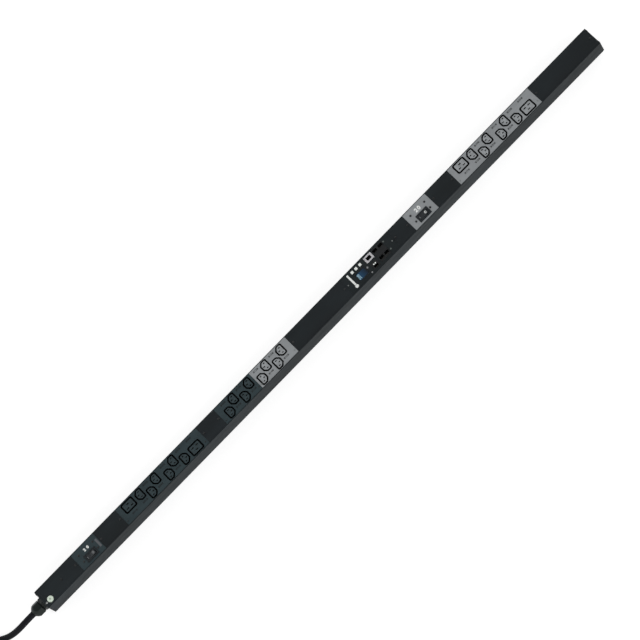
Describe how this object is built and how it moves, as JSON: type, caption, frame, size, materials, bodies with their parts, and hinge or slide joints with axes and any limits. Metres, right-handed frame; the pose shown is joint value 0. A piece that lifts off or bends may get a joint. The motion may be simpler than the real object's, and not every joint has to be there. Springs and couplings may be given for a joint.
{
  "type": "rack power strip",
  "caption": "Vertical rack power strip: a long steel channel of outlet banks, breakers and a meter module, with its supply cord and locking plug.",
  "frame": {"origin": "bottom centre of the strip's box without its cord: on the plane of the rear peg heads, midway along the strip", "axes": "+X along the strip away from the cord, +Z out of the outlet face, +Y across the face"},
  "size_m": [2.3195, 0.1376, 0.0645],
  "materials": {
    "channel_steel": "powder coat, fine satin texture",
    "black_steel": "black powder coat, fine satin texture",
    "dark_grey_panel": "dark grey moulded, fine spark texture",
    "light_grey_panel": "light grey moulded, fine spark texture",
    "outlet_black": "black moulded, matt",
    "black_plastic": "black moulded, fine texture",
    "breaker_black": "black moulded, satin",
    "rocker_black": "black moulded, satin gloss",
    "button_white": "white moulded, satin",
    "display_blue": "clear blue window, gloss",
    "board_green": "solder mask",
    "copper": "bare drawn copper",
    "zinc": "zinc plated",
    "cord_rubber": "matt rubber sheath",
    "strap_black": "woven hook and loop strap",
    "plug_black": "satin thermoplastic rubber",
    "plug_face": "white moulded insert"
  },
  "bodies": {
    "root": {"chassis": "channel_steel", "end_cap_cord": "black_steel", "end_cap_far": "black_steel", "rear_peg_cord_end": "zinc", "rear_peg_far_end": "zinc", "earth_screw": "zinc", "shielded_jack": "zinc", "meter_bezel": "black_plastic", "display_window": "display_blue", "sensor_jack": "black_plastic", "link_jack_block": "black_plastic", "meter_board": "board_green", "busbar_line": "copper", "busbar_neutral": "copper", "busbar_earth": "copper", "terminal_block": "black_plastic", "gland_body": "black_plastic", "gland_nut": "black_plastic", "cord_lead": "cord_rubber", "cord_hank": "cord_rubber", "cord_tail": "cord_rubber", "hank_tie": "strap_black", "plug_body": "plug_black", "plug_face": "plug_face", "outlet_bezel_1": "dark_grey_panel", "outlet_bezel_2": "dark_grey_panel", "outlet_bezel_3": "light_grey_panel", "outlet_bezel_4": "light_grey_panel", "breaker_bezel_1": "dark_grey_panel", "breaker_bezel_2": "light_grey_panel", "blank_plate_1": "black_steel", "blank_plate_2": "black_steel", "blank_plate_3": "black_steel", "blank_plate_4": "black_steel", "blank_plate_5": "black_steel", "blank_plate_6": "black_steel", "blank_plate_7": "black_steel", "bank_1_c19_1": "outlet_black", "bank_1_c19_2": "outlet_black", "bank_1_c13_1": "outlet_black", "bank_1_c13_2": "outlet_black", "bank_1_c13_pair_1": "outlet_black", "bank_1_c13_pair_2": "outlet_black", "bank_4_c19_1": "outlet_black", "bank_4_c19_2": "outlet_black", "bank_4_c13_1": "outlet_black", "bank_4_c13_2": "outlet_black", "bank_4_c13_pair_1": "outlet_black", "bank_4_c13_pair_2": "outlet_black", "bank_2_c13_pair_1": "outlet_black", "bank_2_c13_pair_2": "outlet_black", "bank_3_c13_pair_1": "outlet_black", "bank_3_c13_pair_2": "outlet_black", "breaker_case_1": "breaker_black", "breaker_case_2": "breaker_black"},
    "breaker_1": {"breaker_rocker_1": "rocker_black"},
    "breaker_2": {"breaker_rocker_2": "rocker_black"},
    "button_1": {"display_button_1": "button_white"},
    "button_2": {"display_button_2": "button_white"},
    "button_3": {"display_button_3": "button_white"}
  },
  "joints": [
    {"name": "breaker_rocker_1_tilt", "type": "hinge", "parent": "root", "child": "breaker_1", "pos_m": [-0.74445, -0.0096, 0.0578], "axis": [0, 1, 0], "range_deg": [0, 20]},
    {"name": "breaker_rocker_2_tilt", "type": "hinge", "parent": "root", "child": "breaker_2", "pos_m": [0.33935, -0.0096, 0.0578], "axis": [0, 1, 0], "range_deg": [0, 20]},
    {"name": "display_button_1_press", "type": "slide", "parent": "root", "child": "button_1", "axis": [0, 0, -1], "range_m": [0, 0.0012], "stiffness_N_per_m": 1250},
    {"name": "display_button_2_press", "type": "slide", "parent": "root", "child": "button_2", "axis": [0, 0, -1], "range_m": [0, 0.0012], "stiffness_N_per_m": 1250},
    {"name": "display_button_3_press", "type": "slide", "parent": "root", "child": "button_3", "axis": [0, 0, -1], "range_m": [0, 0.0012], "stiffness_N_per_m": 1250}
  ]
}
